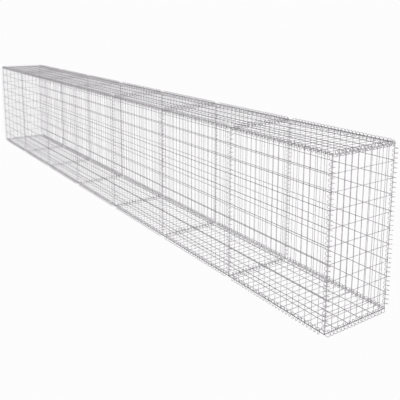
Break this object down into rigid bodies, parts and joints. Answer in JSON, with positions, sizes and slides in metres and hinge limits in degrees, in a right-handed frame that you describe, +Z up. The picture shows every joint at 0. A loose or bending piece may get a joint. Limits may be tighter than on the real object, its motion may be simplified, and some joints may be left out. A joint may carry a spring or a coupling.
{
  "type": "gabion wall",
  "caption": "Long empty gabion wall of galvanised welded-wire panels in bays, with closed lids, bound along every edge and seam by wire spirals, ready for stone fill.",
  "frame": {"origin": "middle of the footprint at ground level, under the lowest turns of the base spirals", "axes": "+X along the wall towards its near end, +Y across the wall from front to back, +Z up"},
  "size_m": [6.0486, 0.5446, 1.0447],
  "materials": {
    "mesh_wire": "satin",
    "spiral_wire": "satin"
  },
  "bodies": {
    "root": {"front_panel_1": "mesh_wire", "back_panel_1": "mesh_wire", "base_panel_1": "mesh_wire", "lid_panel_1": "mesh_wire", "front_panel_2": "mesh_wire", "back_panel_2": "mesh_wire", "base_panel_2": "mesh_wire", "lid_panel_2": "mesh_wire", "front_panel_3": "mesh_wire", "back_panel_3": "mesh_wire", "base_panel_3": "mesh_wire", "lid_panel_3": "mesh_wire", "front_panel_4": "mesh_wire", "back_panel_4": "mesh_wire", "base_panel_4": "mesh_wire", "lid_panel_4": "mesh_wire", "front_panel_5": "mesh_wire", "back_panel_5": "mesh_wire", "base_panel_5": "mesh_wire", "lid_panel_5": "mesh_wire", "front_panel_6": "mesh_wire", "back_panel_6": "mesh_wire", "base_panel_6": "mesh_wire", "lid_panel_6": "mesh_wire", "front_panel_7": "mesh_wire", "back_panel_7": "mesh_wire", "base_panel_7": "mesh_wire", "lid_panel_7": "mesh_wire", "near_end_panel": "mesh_wire", "far_end_panel": "mesh_wire", "lid_front_spirals": "spiral_wire", "lid_back_spirals": "spiral_wire", "base_front_spirals": "spiral_wire", "base_back_spirals": "spiral_wire", "near_end_spirals": "spiral_wire", "seam_1_spirals": "spiral_wire", "seam_2_spirals": "spiral_wire", "seam_3_spirals": "spiral_wire", "seam_4_spirals": "spiral_wire", "seam_5_spirals": "spiral_wire", "seam_6_spirals": "spiral_wire", "far_end_spirals": "spiral_wire"}
  },
  "joints": []
}
